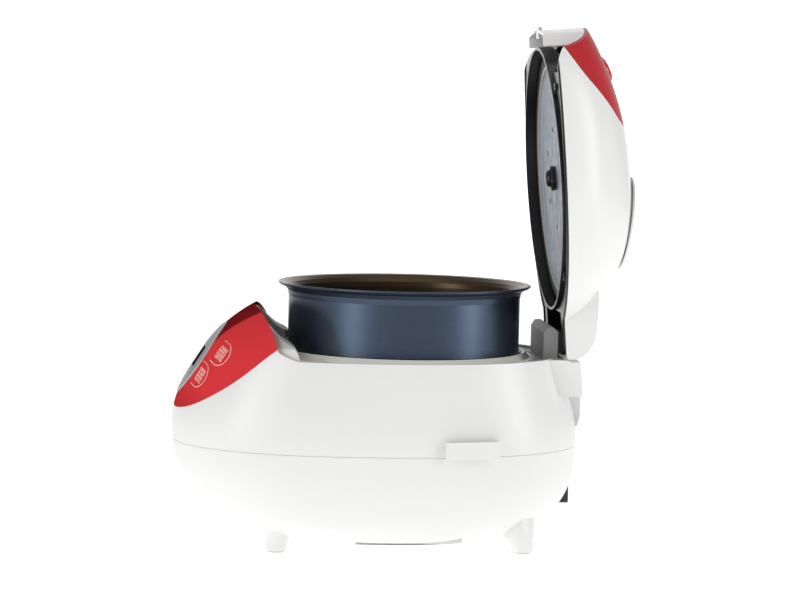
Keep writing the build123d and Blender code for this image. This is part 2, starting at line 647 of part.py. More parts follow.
def lid_front_cap():
    middle = SEAM_FRONT_Y + SEAM_ARC_R
    zone = box(-TONGUE_HALF, TONGUE_HALF, -TALL, -SKIRT_R, DECK_Z + LID_GAP, TALL)
    zone = CORE & (zone & upright(SEAM_ARC_R - LID_GAP, 0, middle, 0, TALL))
    room = box(-TONGUE_HALF + TONGUE_T, TONGUE_HALF - TONGUE_T, -TALL, 0, DECK_Z, TALL)
    room = room & upright(SEAM_ARC_R - LID_GAP - TONGUE_T, 0, middle, 0, TALL)
    slot = box(-NOSE_HALF - 0.8, NOSE_HALF + 0.8, -TALL, -110, NOSE_Z - 2, NOSE_Z + NOSE_H + 1)
    low = above(SHOULDER_EDGE[:-1], LID_GAP + 0.4)
    wing = low - above(SHOULDER_EDGE[:-1], LID_GAP + 0.4 + TONGUE_T)
    wing = wing & upright(SEAM_ARC_R - LID_GAP, 0, middle, 0, TALL)
    wing = (CORE & wing) - box(-TONGUE_HALF + TONGUE_T, TONGUE_HALF - TONGUE_T, -TALL, 0, 0, TALL)
    wing = wing - box(-TALL, TALL, -TALL, TALL, 0, FRAME_Z)
    return (zone - room - slot + wing) - upright(SKIRT_R + FIT, 0, 0, 0, TALL)


def lid_inner_frame():
    low, high = CLOSURE_Z - 1.7, LID_CEILING_Z
    bowl = spun([(SKIRT_R - SKIRT_T, low), (SKIRT_R - 0.6, low), (SKIRT_R, low + 0.6), (SKIRT_R, high - 4),
                 (SKIRT_R - 4, high), (11, high), (11, high - 2), (SKIRT_R - 5, high - 2),
                 (SKIRT_R - SKIRT_T, high - 4.6)])
    plate = CORE & box(-TALL / 2, TALL / 2, -92, TALL, FRAME_Z, FRAME_Z + FRAME_T)
    plate = plate - upright(SKIRT_R - 1, 0, 0, 0, TALL)
    plate = plate - box(-ARM_X0, ARM_X0, STEM_Y0 - 4, TALL, 0, TALL)
    arms = []
    for side in (-1, 1):
        x0, x1 = sorted((side * ARM_X0, side * (ARM_X0 + ARM_T)))
        arms.append(across([(98, FRAME_Z), (98, FRAME_Z + 14), (HINGE_Y, HINGE_Z + KNUCKLE_R),
                            (HINGE_Y, HINGE_Z - KNUCKLE_R), (134, FRAME_Z)], x0, x1))
        arms.append(rod(KNUCKLE_R, (x0, HINGE_Y, HINGE_Z), (x1, HINGE_Y, HINGE_Z)))
    frame = bowl + plate + arms
    bore = rod(PIN_R + PIN_RUN, (-TALL, HINGE_Y, HINGE_Z), (TALL, HINGE_Y, HINGE_Z))
    cavity = spun([(0, 0), (SKIRT_R - SKIRT_T, 0), (SKIRT_R - SKIRT_T, high - 4.6), (SKIRT_R - 5, high - 2),
                   (0, high - 2)])
    holes = [upright(SCREW_R + 0.2, x, y, 0, 180) for x, y in LID_SCREWS]
    duct = CAP * Pos(0, 0, -60) * Cylinder(12, 120)
    return frame - bore - cavity - holes - duct


def lid_gasket():
    low, top = PLATE_Z - 1.4, LID_CEILING_Z - 2
    return spun([(PLATE_R + 0.2, low), (POT_RIM_R - 2, low), (POT_RIM_R - 0.6, low + 2.4),
                 (POT_RIM_R - 0.6, top), (PLATE_R - 3, top), (PLATE_R - 3, PLATE_Z + PLATE_T),
                 (PLATE_R + 0.2, PLATE_Z + PLATE_T)])


def inner_plate():
    z = PLATE_Z
    under = [(4, z), (70, z), (73, z - 0.8), (PLATE_R - 4, z - 0.8), (PLATE_R, z)]
    plate = spun(under + [(r, level + PLATE_T) for r, level in reversed(under)])
    holes = [Rot(0, 0, 60 * k + 90) * Pos(42.5, 0, z) * Cylinder(2.6, 8) for k in range(6)]
    return plate - holes


def plate_knob():
    z = PLATE_Z
    return spun([(0, z - 4.8), (9.5, z - 4.8), (11, z - 3.6), (11, z - 1.6), (10, z - 0.1), (3.8, z - 0.1),
                 (3.8, z + 2.6), (5.6, z + 2.6), (5.6, z + 3.8), (0, z + 3.8)])


def lid_heater():
    return Pos(0, 0, LID_CEILING_Z + 2) * Torus(66, 2)


def lid_sensor():
    z = LID_CEILING_Z
    return upright(6, 30, -30, z, z + 7) + upright(3, 30, -30, z + 7, z + 12)


def steam_duct():
    cup = spun([(8.4, -19), (CAP_SEAT_R + 2.2, -19), (CAP_SEAT_R + 2.2, -2.9), (CAP_SEAT_R + 0.6, -2.9),
                (CAP_SEAT_R + 0.6, -17), (10.4, -17)])
    tube = ring(8.4, 10.4, -52, -17)
    return CAP * (cup + tube)


def lid_screws():
    return group([Pos(x, y, FRAME_Z) * Rot(180, 0, 0) * screw(13) for x, y in LID_SCREWS])


# ---- steam cap ----
def steam_cap_top():
    dome = spun([(0, 4.2), (12, 4.0), (26, 3.1), (CAP_R - 5, 1.9), (CAP_R - 1.2, 0.9), (CAP_R, 0.1),
                 (CAP_R, -0.6), (CAP_R - 2, -0.6), (CAP_R - 3.4, 0.0), (26, 1.2), (5, 1.9), (5, -6), (0, -6)])
    vents = Part() + [Rot(0, 0, 60 * k) * Pos(0, 17, 4) * Box(2.2, 9, 14) for k in range(6)]
    return CAP * (dome - vents)


def steam_cap_base():
    reach = CAP_SEAT_R - CAP_GAP
    return CAP * spun([(5.2, -15), (reach - 2, -15), (reach, -13), (reach, -0.2), (reach - 1.6, 0.1),
                       (reach - 1.6, -12.4), (reach - 3, -13.4), (5.2, -13.4)])


def steam_cap_seal():
    return CAP * spun([(4.6, -16.6), (8, -16.6), (10, -15.05), (5.2, -15.05), (4.6, -14)])


# ---- lid button and latch ----
def open_button():
    dome = spun([(0, 1.8), (7, 1.2), (BUTTON_R - 1.2, -0.4), (BUTTON_R, -1.6), (BUTTON_R, -5), (4, -5),
                 (4, -12), (0, -12)])
    return BUTTON * dome


def button_spring():
    return BUTTON * Pos(0, 0, -16) * coil(6.4, 0.9, 7.5, 3)


def button_seat():
    return BUTTON * spun([(5, -18), (BUTTON_R + 3, -18), (BUTTON_R + 3, -4.6), (BUTTON_R + 1.2, -4.6),
                          (BUTTON_R + 1.2, -16.4), (5, -16.4)])


def latch_hook():
    plate = box(-9, 9, -125.0, -84.0, 193.0, 195.4)
    arm = box(-NOSE_HALF, NOSE_HALF, -125.0, -122.0, NOSE_Z, 195.4)
    nose = across([(-132.4, NOSE_Z + 1.2), (-132.4, NOSE_Z + NOSE_H), (-122.0, NOSE_Z + NOSE_H),
                   (-122.0, NOSE_Z),
                   (-130.4, NOSE_Z)], -NOSE_HALF, NOSE_HALF)
    return plate + arm + nose


def latch_guide():
    walls = [box(side * 12 - 2, side * 12 + 2, -112, -86, 189.5, 198.5) for side in (-1, 1)]
    floor = box(-14, 14, -112, -86, 189.5, 191.6)
    return floor + walls


# ---- pot ----
def inner_pot():
    z = POT_FLOOR_Z
    top = POT_RIM_Z
    outer = [(0, z), (POT_R - 13, z), (POT_R - 8.5, z + 1.4), (POT_R - 4, z + 4.6), (POT_R - 1.2, z + 9.6),
             (POT_R, z + 16), (POT_R, top - 12), (POT_R + 0.9, top - 7.4), (POT_R + 3.2, top - 4.2),
             (POT_RIM_R - 1.4, top - 2.6), (POT_RIM_R, top - 1.4), (POT_RIM_R - 0.6, top - 0.3),
             (POT_RIM_R - 1.8, top), (POT_RIM_R - 4, top - 0.6)]
    w = POT_WALL
    inner = [(POT_R + 1.0, top - 3.2), (POT_R - w + 0.4, top - 6.6), (POT_R - w, top - 11),
             (POT_R - w, z + 17),
             (POT_R - w - 1.2, z + 10.8), (POT_R - w - 3.8, z + 6.2), (POT_R - 14, z + w + 1), (0, z + w)]
    return spun(outer + inner)


BODY_NODES = {
    "lower_housing": lower_housing, "foot_pads": foot_pads, "bottom_cover": bottom_cover,
    "bottom_screws": bottom_screws, "upper_housing": upper_housing, "housing_screws": housing_screws,
    "control_fascia": control_fascia, "bezel_disc": bezel_disc, "display_window": display_window,
    "display_module": display_module, "control_board": control_board, "tact_switches": tact_switches,
    "front_deck": front_deck, "rear_deck": rear_deck, "pot_ring": pot_ring,
    "latch_catch": latch_catch, "inner_casing": inner_casing,
    "heater_plate": heater_plate, "heating_element": heating_element, "heater_screws": heater_screws,
    "center_sensor": center_sensor, "sensor_spring": sensor_spring, "sensor_bracket": sensor_bracket,
    "side_heater_band": side_heater_band, "thermal_fuse": thermal_fuse, "power_board": power_board,
    "transformer": transformer, "board_parts": board_parts, "power_inlet": power_inlet,
    "inlet_pins": inlet_pins, "rear_hinge_cover": rear_hinge_cover, "dew_cup": dew_cup,
    "scoop_holder": scoop_holder, "hinge_bracket": hinge_bracket, "hinge_pin": hinge_pin,
    "hinge_spring": hinge_spring,
}
LID_NODES = {
    "lid_shell": lid_shell, "lid_fascia": lid_fascia, "lid_front_cap": lid_front_cap,
    "lid_inner_frame": lid_inner_frame, "lid_gasket": lid_gasket, "inner_plate": inner_plate,
    "plate_knob": plate_knob, "lid_heater": lid_heater, "lid_sensor": lid_sensor, "steam_duct": steam_duct,
    "lid_screws": lid_screws, "steam_cap_top": steam_cap_top, "steam_cap_base": steam_cap_base,
    "steam_cap_seal": steam_cap_seal, "open_button": open_button, "button_spring": button_spring,
    "button_seat": button_seat, "latch_hook": latch_hook, "latch_guide": latch_guide,
}

os.makedirs("parts", exist_ok=True)
for name, make in BODY_NODES.items():
    export_step(make(), f"parts/{name}.step")
for name in KEYS:
    export_step(key(name), f"parts/{name}.step")
for name, make in LID_NODES.items():
    export_step(swung_open(make()), f"parts/{name}.step")
export_step(Pos(0, 0, POT_RAISE) * inner_pot(), "parts/inner_pot.step")
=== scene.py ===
import bmesh
import bpy
import json
import math
from mathutils import Matrix, Vector


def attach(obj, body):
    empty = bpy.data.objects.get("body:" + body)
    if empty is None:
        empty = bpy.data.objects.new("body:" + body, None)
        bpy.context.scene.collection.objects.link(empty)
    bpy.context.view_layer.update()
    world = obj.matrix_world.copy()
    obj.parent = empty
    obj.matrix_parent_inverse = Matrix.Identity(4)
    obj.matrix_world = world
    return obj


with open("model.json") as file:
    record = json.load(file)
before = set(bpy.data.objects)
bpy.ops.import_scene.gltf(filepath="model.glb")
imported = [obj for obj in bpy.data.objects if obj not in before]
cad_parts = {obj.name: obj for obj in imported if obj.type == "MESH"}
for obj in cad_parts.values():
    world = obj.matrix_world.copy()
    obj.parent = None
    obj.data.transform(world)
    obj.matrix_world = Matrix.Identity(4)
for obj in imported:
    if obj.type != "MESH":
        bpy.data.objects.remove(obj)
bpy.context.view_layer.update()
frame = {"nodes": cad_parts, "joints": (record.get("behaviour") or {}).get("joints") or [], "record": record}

# ---- sizes and places, in metres unless a name says mm ----
MM = 0.001
LID_HINGE = next(joint for joint in frame["joints"] if joint["name"] == "lid_hinge")
HINGE = Vector(LID_HINGE["pos_m"])
OPEN_ANGLE = math.radians(LID_HINGE["range_deg"][1])
CLOSURE_Z = 0.1653
SEAL_STRIP = 0.0024

# the fascia's flat panel, and the round bezel on it
PANEL_CENTRE = Vector((0.0, -0.178, 0.159))
PANEL_TILT = math.radians(56.0)
PANEL_SINK = 0.010
PANEL_REACH = 0.022
BEZEL_RIM_R = 0.0352
BEZEL_RIB = 0.0008

# keys on each side of the panel, as (height up the panel, where the flat side starts), and their print
KEYS = ((0.0165, 0.0515), (-0.0095, 0.0415))
KEY_ROUND_X = 0.0105
KEY_OUTLINE_R = 0.0107
OUTLINE_HALF = 0.00034
OUTLINE_SOFT = 0.00022
GLYPH_MIDDLE = 0.0092
GLYPH_HALF_W = 0.0068
GLYPH_HALF_H = 0.0060
GLYPH_ROW = 0.0017
GLYPH_COLUMN = 0.0016

# unlit segments behind the window
SEGMENT_PITCH_X = 0.005
SEGMENT_PITCH_S = 0.0045
SEGMENTS_HALF_W = 0.0145
SEGMENTS_HALF_H = 0.0052

# the raised pot: its top, its cup, and its flare's slopes as (start radius, slope, drop)
POT_TOP = 0.2248
POT_CUP_R = 0.1002
POT_CUP_DEPTH = 0.1136
POT_FLARE_R = 0.1076
POT_FLARE_SLOPES = ((0.1006, 1.5, 0.0070), (0.1030, 0.55, 0.0034))
BEAD_R_MM = 0.95
BEAD_RING_MM = 109.3
BEAD_HEIGHT_MM = 224.0
BEAD_STEPS = 12

# seats of the added pieces with the lid shut, as (y, z, lean in degrees)
BUTTON_SEAT = (-0.0923, 0.2212, 22.8)
STEAM_CAP_SEAT = (0.0425, 0.2332, -11.0)
KNOB_SEAT = (0.0, 0.174, 0.0)

# ---- colours and grains shared by finishes ----
WHITE = (0.80, 0.80, 0.79)
BLACK = (0.010, 0.010, 0.011)
CREAM = (0.80, 0.79, 0.72)
CRISP = 0.0003
FLAKE_SCALE = 2600.0
FLAKE_DEPTH = 2e-6
FLAKE_STRENGTH = 0.25
SPARK_SCALE = 2400.0
SPARK_DEPTH = 4e-5


class Value:
    """A number that varies over a surface: Python operators on it add Math nodes."""

    def __init__(self, finish, socket):
        self.finish = finish
        self.socket = socket

    def _with(self, operation, *values):
        return self.finish.math(operation, *values)

    def __add__(self, other):
        return self._with("ADD", self, other)

    __radd__ = __add__

    def __mul__(self, other):
        return self._with("MULTIPLY", self, other)

    __rmul__ = __mul__

    def __sub__(self, other):
        return self._with("SUBTRACT", self, other)

    def __rsub__(self, other):
        return self._with("SUBTRACT", other, self)

    def __truediv__(self, other):
        return self._with("DIVIDE", self, other)

    def __pow__(self, other):
        return self._with("POWER", self, other)

    def __abs__(self):
        return self._with("ABSOLUTE", self)

    def above(self, edge, soft=CRISP):
        """0 below the edge and 1 above it, over a soft step."""
        return self.finish.clamped((self - edge) / soft + 0.5)

    def below(self, edge, soft=CRISP):
        """1 below the edge and 0 above it, over a soft step."""
        return 1 - self.above(edge, soft)


class Finish:
    """A node material with one Principled shader."""

    def __init__(self, name):
        self.material = bpy.data.materials.new(name)
        self.material.use_nodes = True
        self.tree = self.material.node_tree
        self.shader = self.tree.nodes["Principled BSDF"]
        self.place = self.node("ShaderNodeTexCoord").outputs["Object"]

    def node(self, kind, settings=None, sockets=None):
        """A node of this type, with its settings and then the values or links of its sockets."""
        made = self.tree.nodes.new(kind)
        for key, value in (settings or {}).items():
            setattr(made, key, value)
        for key, value in (sockets or {}).items():
            self._feed(made.inputs[key], value)
        return made

    def _feed(self, socket, value):
        if isinstance(value, Value):
            value = value.socket
        if isinstance(value, bpy.types.NodeSocket):
            self.tree.links.new(value, socket)
        elif isinstance(value, tuple) and len(value) == 3 and socket.type == "RGBA":
            socket.default_value = (*value, 1.0)
        else:
            socket.default_value = value

    def math(self, operation, *values):
        made = self.node("ShaderNodeMath", {"operation": operation}, dict(enumerate(values)))
        return Value(self, made.outputs[0])

    def clamped(self, value):
        made = self.node("ShaderNodeClamp", None, {"Value": value})
        return Value(self, made.outputs[0])

    def maximum(self, a, b):
        return self.math("MAXIMUM", a, b)

    def minimum(self, a, b):
        return self.math("MINIMUM", a, b)

    def zigzag(self, value, pitch):
        """Runs from 0 up to the pitch and back, over and over."""
        return self.math("PINGPONG", value, pitch)

    def split(self, vector):
        made = self.node("ShaderNodeSeparateXYZ", None, {0: vector})
        return [Value(self, made.outputs[k]) for k in range(3)]

    def mapped(self, place=None, scale=(1, 1, 1), shift=(0, 0, 0), turn=(0, 0, 0)):
        sockets = {"Vector": place or self.place, "Location": shift, "Rotation": turn, "Scale": scale}
        return self.node("ShaderNodeMapping", {"vector_type": "POINT"}, sockets).outputs[0]

    def noise(self, scale, detail=2.0, rough=0.5, place=None):
        sockets = {"Vector": place or self.place, "Scale": scale, "Detail": detail, "Roughness": rough}
        return Value(self, self.node("ShaderNodeTexNoise", None, sockets).outputs["Fac"])

    def cells(self, scale, place=None):
        """The distance from the middle of the nearest cell."""
        sockets = {"Vector": place or self.place, "Scale": scale}
        return Value(self, self.node("ShaderNodeTexVoronoi", None, sockets).outputs["Distance"])

    def blend(self, share, low, high):
        """A colour between low and high."""
        made = self.node("ShaderNodeMix", {"data_type": "RGBA"}, {"Factor": share})
        self._feed(made.inputs[6], low)
        self._feed(made.inputs[7], high)
        return made.outputs[2]

    def bump(self, height, distance, strength=1.0):
        sockets = {"Height": height, "Distance": distance, "Strength": strength}
        self.set("Normal", self.node("ShaderNodeBump", None, sockets).outputs[0])

    def set(self, socket, value):
        self._feed(self.shader.inputs[socket], value)

    def settle(self, **values):
        """Sets constants on the shader, with _ for each space in a socket's name."""
        for key, value in values.items():
            self.set(key.replace("_", " "), value)


# ---- kinds of finish ----
def moulded(name, colour, roughness, grain_scale, grain_depth, coat=0.0, tone=0.03):
    """Moulded plastic: faint tone drift, a fine moulded grain and slightly uneven gloss."""
    f = Finish(name)
    drift = f.noise(9.0, 3.0)
    fine = f.noise(grain_scale, 3.0, 0.6)
    dark = tuple(c * (1 - tone) for c in colour)
    f.set("Base Color", f.blend(drift, dark, colour))
    f.set("Roughness", roughness * 0.9 + (drift * 0.5 + fine * 0.5) * (roughness * 0.2))
    f.bump(fine, grain_depth, 0.35)
    f.settle(Coat_Weight=coat, Coat_Roughness=0.08, IOR=1.5)
    return f


def white_moulded(name):
    """The gloss white plastic of the housings and lid."""
    return moulded(name, WHITE, 0.34, 900.0, 6e-6, tone=0.015)


def drawn_metal(name, colour, roughness, streak=(1, 1, 60), depth=2e-6):
    """Metal with fine drawn or brushed streaks."""
    f = Finish(name)
    lines = f.noise(60.0, 4.0, 0.6, f.mapped(scale=streak))
    dark = tuple(c * 0.82 for c in colour)
    f.set("Base Color", f.blend(lines, dark, colour))
    f.set("Roughness", roughness * 0.8 + lines * (roughness * 0.4))
    f.set("Metallic", 1.0)
    f.bump(lines, depth, 0.4)
    return f


def lid_place(f):
    """Object coordinates turned back to where the lid is when it is shut, measured from the hinge."""
    moved = f.mapped(shift=tuple(-HINGE))
    return f.mapped(moved, turn=(OPEN_ANGLE, 0, 0))


def panel_place(f):
    """Object coordinates laid on the fascia's panel: across it, up it and off its face."""
    moved = f.mapped(shift=tuple(-PANEL_CENTRE))
    return f.mapped(moved, turn=(-PANEL_TILT, 0, 0))


def radius_of(x, y):
    return (x * x + y * y) ** 0.5


# ---- white, grey and black mouldings ----
def lid_white():
    """The white lid moulding, with the black sealing strip along its rim."""
    f = white_moulded("lid_white_shell")
    height = f.split(lid_place(f))[2] + HINGE.z
    rim = height.below(CLOSURE_Z + SEAL_STRIP, 0.0002)
    f.set("Base Color", f.blend(rim, WHITE, BLACK))
    return f


def cap_white():
    """The white front cap of the lid, with the black sealing strip under its left wing."""
    strip_x = -0.0495
    f = white_moulded("cap_white_shell")
    strip = f.split(f.place)[0].below(strip_x, 0.0004)
    f.set("Base Color", f.blend(strip, WHITE, BLACK))
    return f


def grey_deck():
    """Textured grey deck, black on its far side beside the latch channel, with a cream foot at the pot ring.
    """
    front_y = -0.060
    black_band_x = -0.0555
    black_band_z = 0.1700
    cream_x = 0.066
    cream_z = 0.1745
    f = Finish("textured_grey_deck")
    spark = f.noise(SPARK_SCALE, 2.0, 0.7)
    drift = f.noise(30.0, 3.0)
    x, y, z = f.split(f.place)
    grey = f.blend(spark * 0.6 + drift * 0.4, (0.34, 0.34, 0.34), (0.52, 0.52, 0.51))
    front = y.below(front_y, 0.001)
    # a black band on the deck's far side beside the latch channel, placed by position
    black_band = front * x.below(black_band_x, 0.0010) * z.above(black_band_z, 0.0010)
    cream = front * z.below(cream_z, 0.003) * abs(x).above(cream_x, 0.004)
    f.set("Base Color", f.blend(black_band, f.blend(cream, grey, CREAM), BLACK))
    f.set("Roughness", 0.48 + spark * 0.16)
    f.settle(Specular_IOR_Level=0.3)
    f.bump(spark, SPARK_DEPTH, 0.5)
    return f


def hinge_grey():
    """Textured grey knuckle, black where the lid's liner laps behind it."""
    liner_y = 0.1302
    f = Finish("textured_grey_hinge")
    spark = f.noise(SPARK_SCALE, 2.0, 0.7)
    black_band = f.split(f.place)[1].above(liner_y, 0.0006)
    grey = f.blend(spark, (0.30, 0.30, 0.30), (0.50, 0.50, 0.49))
    f.set("Base Color", f.blend(black_band, grey, BLACK))
    f.set("Roughness", 0.5 + spark * 0.16)
    f.bump(spark, SPARK_DEPTH, 0.5)
    return f


def silicone():
    """Dark seal with a thin pale lip where it grips the inner plate."""
    lip_radius = 0.0985
    f = moulded("seal_silicone", (0.05, 0.05, 0.05), 0.45, 500.0, 2e-5, tone=0.1)
    x, y, _ = f.split(lid_place(f))
    lip = radius_of(x, y + HINGE.y).below(lip_radius)
    f.set("Base Color", f.blend(lip, (0.03, 0.03, 0.03), (0.50, 0.48, 0.42)))
    return f


# ---- the fascia and its display ----
def print_marks(f, x, s):
    """Pale print: the open round outline of each key and rows of small marks inside it."""
    total = None
    side = abs(x)
    for height, flat in KEYS:
        across = f.maximum(side - (flat + KEY_ROUND_X), 0.0)
        up = s - height
        outline = abs(radius_of(across, up) - KEY_OUTLINE_R)
        line = outline.below(OUTLINE_HALF, OUTLINE_SOFT) * side.above(flat)
        row = f.zigzag(side - flat, GLYPH_ROW)
        column = f.zigzag(up, GLYPH_COLUMN)
        stroke = f.noise(900.0, 2.0, 0.5).above(0.44, 0.04)
        marks = row.above(0.0006) * column.above(0.0003) * stroke
        marks = marks * abs(side - flat - GLYPH_MIDDLE).below(GLYPH_HALF_W)
        marks = marks * abs(up).below(GLYPH_HALF_H)
        part = f.maximum(line, marks)
        total = part if total is None else f.maximum(total, part)
    return total


def red_panel():
    """Red metallic paint with pale print, with a painted dark reflection over the crown and painted shade
    along the low edge.
    """
    crown_half = 0.0235
    crown_spread = 0.44
    crown_start = 0.010
    low_edge = -0.030
    f = Finish("red_metallic_panel")
    flake = f.cells(FLAKE_SCALE)
    x, s, off_face = f.split(panel_place(f))
    near = abs(off_face + PANEL_SINK).below(PANEL_REACH, 0.002)
    marks = print_marks(f, x, s) * near
    # painted light: a dark reflection painted over the crown, and shade painted along the low edge
    crown = abs(x).below(crown_half + s * crown_spread, 0.006) * s.above(crown_start, 0.010) * near
    low = s.below(low_edge, 0.030) * near
    red = f.blend(flake, (0.56, 0.026, 0.032), (0.78, 0.058, 0.066))
    # the painted dark reflection over the crown and the painted shade at the low edge darken the red here
    red = f.blend(crown * 0.85, red, (0.085, 0.004, 0.006))
    red = f.blend(low * 0.45, red, (0.22, 0.010, 0.016))
    f.set("Base Color", f.blend(marks, red, (0.90, 0.66, 0.62)))
    f.set("Roughness", 0.36 + flake * 0.14)
    f.bump(flake, FLAKE_DEPTH, FLAKE_STRENGTH)
    f.settle(Specular_IOR_Level=0.0)
    return f


def lid_red():
    """The same red on the lid, with painted shade toward the middle of the lid."""
    f = Finish("red_metallic_lid")
    flake = f.cells(FLAKE_SCALE)
    # painted shade: the red is darkened toward the middle of the lid
    middle_shade = abs(f.split(lid_place(f))[0]).below(0.052, 0.05)
    red = f.blend(flake, (0.40, 0.016, 0.022), (0.56, 0.034, 0.040))
    f.set("Base Color", f.blend(middle_shade, red, (0.24, 0.040, 0.050)))
    f.set("Roughness", 0.32 + flake * 0.14)
    f.bump(flake, FLAKE_DEPTH, FLAKE_STRENGTH)
    f.settle(Specular_IOR_Level=0.12)
    return f


def silver_bezel():
    """Satin silver with fine ribs across it and a lighter rim."""
    f = Finish("satin_silver_bezel")
    place = panel_place(f)
    x, s, _ = f.split(place)
    rib = f.zigzag(s, BEZEL_RIB) / BEZEL_RIB
    lines = f.noise(60.0, 3.0, 0.6, f.mapped(place, scale=(2, 60, 2)))
    rim = radius_of(x, s).above(BEZEL_RIM_R, 0.0004)
    silver = f.blend(rib * 0.6 + lines * 0.4, (0.10, 0.10, 0.105), (0.40, 0.40, 0.41))
    f.set("Base Color", f.blend(rim, silver, (0.50, 0.50, 0.51)))
    f.set("Roughness", 0.38 + lines * 0.14)
    f.settle(Specular_IOR_Level=0.05)
    f.bump(rib, 3e-5, 0.4)
    return f


def dark_window():
    """Smoked window with rows of unlit display segments behind it."""
    f = Finish("dark_window")
    x, s, _ = f.split(panel_place(f))
    cell = f.zigzag(x, SEGMENT_PITCH_X)
    strokes = cell.above(0.0012) * cell.below(0.0038)
    rows = f.zigzag(s, SEGMENT_PITCH_S)
    segments = f.maximum(rows.below(0.0005), rows.above(0.0040)) * strokes
    segments = segments * abs(s).below(SEGMENTS_HALF_H) * abs(x).below(SEGMENTS_HALF_W)
    f.set("Base Color", f.blend(segments, (0.010, 0.010, 0.012), (0.045, 0.050, 0.048)))
    f.set("Roughness", 0.16 + f.noise(300.0) * 0.05)
    f.settle(Specular_IOR_Level=0.0)
    return f


# ---- the pot, the inner plate and the small parts ----
def pot_coating():
    """Dark satin coating outside with faint specks, bronze inside and over the flare of the rim."""
    f = Finish("pot_coating")
    x, y, z = f.split(f.place)
    radius = radius_of(x, y)
    cup = radius.below(POT_CUP_R, 0.0004) * z.above(POT_TOP - POT_CUP_DEPTH, 0.0004)
    flare = f.minimum(*((radius - start) * slope - drop for start, slope, drop in POT_FLARE_SLOPES))
    over_flare = (z - POT_TOP - flare).above(0.0) * radius.below(POT_FLARE_R)
    inside = f.maximum(cup, over_flare)
    grain = f.noise(1500.0, 2.0, 0.6)
    cloud = f.noise(18.0, 3.0)
    spin = f.noise(40.0, 3.0, 0.6, f.mapped(scale=(0.3, 0.3, 60)))
    specks = f.cells(160.0).below(0.055, 0.03)
    outer = f.blend(cloud * 0.5 + spin * 0.5, (0.042, 0.058, 0.086), (0.074, 0.100, 0.146))
    outer = f.blend(specks * 0.5, outer, (0.20, 0.24, 0.30))
    inner = f.blend(spin, (0.045, 0.029, 0.014), (0.115, 0.075, 0.038))
    f.set("Base Color", f.blend(inside, outer, inner))
    f.set("Metallic", 0.9 - inside * 0.2)
    f.set("Roughness", 0.28 + grain * 0.12)
    f.bump(grain, 8e-6, 0.4)
    return f


def brushed_plate():
    """The lid's inner plate: brushed streaks over a shallow dimpled pattern."""
    f = Finish("brushed_inner_plate")
    place = lid_place(f)
    streak = f.noise(24.0, 5.0, 0.65, f.mapped(place, scale=(14, 1, 1)))
    dimple = f.cells(95.0, place) * 2.2
    f.set("Base Color", f.blend(streak * 0.7 + dimple * 0.3, (0.13, 0.155, 0.19), (0.33, 0.365, 0.42)))
    f.set("Metallic", 0.75)
    f.set("Roughness", 0.30 + dimple * 0.2)
    f.bump(streak * 0.4 + dimple, 2.5e-4, 0.5)
    return f


def clear_cup():
    """Clear plastic with a faint haze."""
    f = Finish("clear_cup")
    haze = f.noise(60.0, 3.0)
    f.set("Base Color", f.blend(haze, (0.90, 0.90, 0.93), (0.97, 0.97, 0.99)))
    f.set("Roughness", 0.10 + haze * 0.08)
    f.settle(Transmission_Weight=0.5, IOR=1.25)
    return f


def board():
    """Green circuit board with lighter tracks."""
    f = Finish("circuit_board")
    track = f.cells(140.0)
    f.set("Base Color", f.blend(track.above(0.35, 0.05), (0.010, 0.10, 0.035), (0.03, 0.19, 0.07)))
    f.set("Roughness", 0.35 + f.noise(200.0) * 0.2)
    f.bump(track, 3e-5, 0.5)
    return f


def heat_band():
    """Woven insulation of the side heater band."""
    f = Finish("woven_heat_band")
    weave = f.noise(300.0, 2.0, 0.5, f.mapped(scale=(1, 1, 6)))
    f.set("Base Color", f.blend(weave, (0.30, 0.22, 0.12), (0.52, 0.42, 0.26)))
    f.set("Roughness", 0.6 + weave * 0.3)
    f.bump(weave, 1e-4, 0.6)
    return f


FINISHES = {
    "white_shell": white_moulded("gloss_white_shell"),
    "red_panel": red_panel(),
    "red_button": moulded("bright_red_button", (0.62, 0.004, 0.006), 0.18, 800.0, 4e-6, coat=0.6, tone=0.1),
    "silver_bezel": silver_bezel(),
    "window_glass": dark_window(),
    "grey_deck": grey_deck(),
    "cream_ring": moulded("cream_ring", CREAM, 0.38, 700.0, 1e-5, tone=0.05),
    "lid_red": lid_red(),
    "cap_white": cap_white(),
    "hinge_grey": hinge_grey(),
    "pale_plastic": moulded("pale_clear_plastic", (0.62, 0.63, 0.64), 0.25, 900.0, 1e-5, tone=0.08),
    "lid_white": lid_white(),
    "black_plastic": moulded("black_frame", BLACK, 0.3, 1100.0, 8e-6, tone=0.3),
    "silicone": silicone(),
    "foot_rubber": moulded("pale_rubber", (0.55, 0.55, 0.54), 0.7, 1500.0, 4e-5, tone=0.12),
    "pot_coat": pot_coating(),
    "plate_alu": brushed_plate(),
    "casing_steel": drawn_metal("casing_steel", (0.62, 0.62, 0.62), 0.25),
    "cast_alu": drawn_metal("cast_aluminium", (0.66, 0.66, 0.67), 0.4, (30, 30, 1), 1e-5),
    "steel": drawn_metal("plain_steel", (0.52, 0.52, 0.53), 0.32),
    "spring_steel": drawn_metal("spring_wire", (0.34, 0.34, 0.36), 0.3),
    "clear_cup": clear_cup(),
    "board_green": board(),
    "component_black": moulded("component_black", (0.028, 0.028, 0.030), 0.42, 1300.0, 2e-5, tone=0.3),
    "band_mica": heat_band(),
    "brass_pin": drawn_metal("plated_brass", (0.66, 0.48, 0.18), 0.25),
}
FINISHES["red_key"] = FINISHES["red_panel"]

# nodes whose finish differs from the one of their slot
SPECIAL = {
    "lid_shell": "lid_white",
    "lid_front_cap": "cap_white",
    "lid_fascia": "lid_red",
    "lid_screws": "black_plastic",
    "plate_knob": "black_plastic",
    "latch_hook": "pale_plastic",
    "latch_guide": "white_shell",
    "hinge_bracket": "hinge_grey",
}


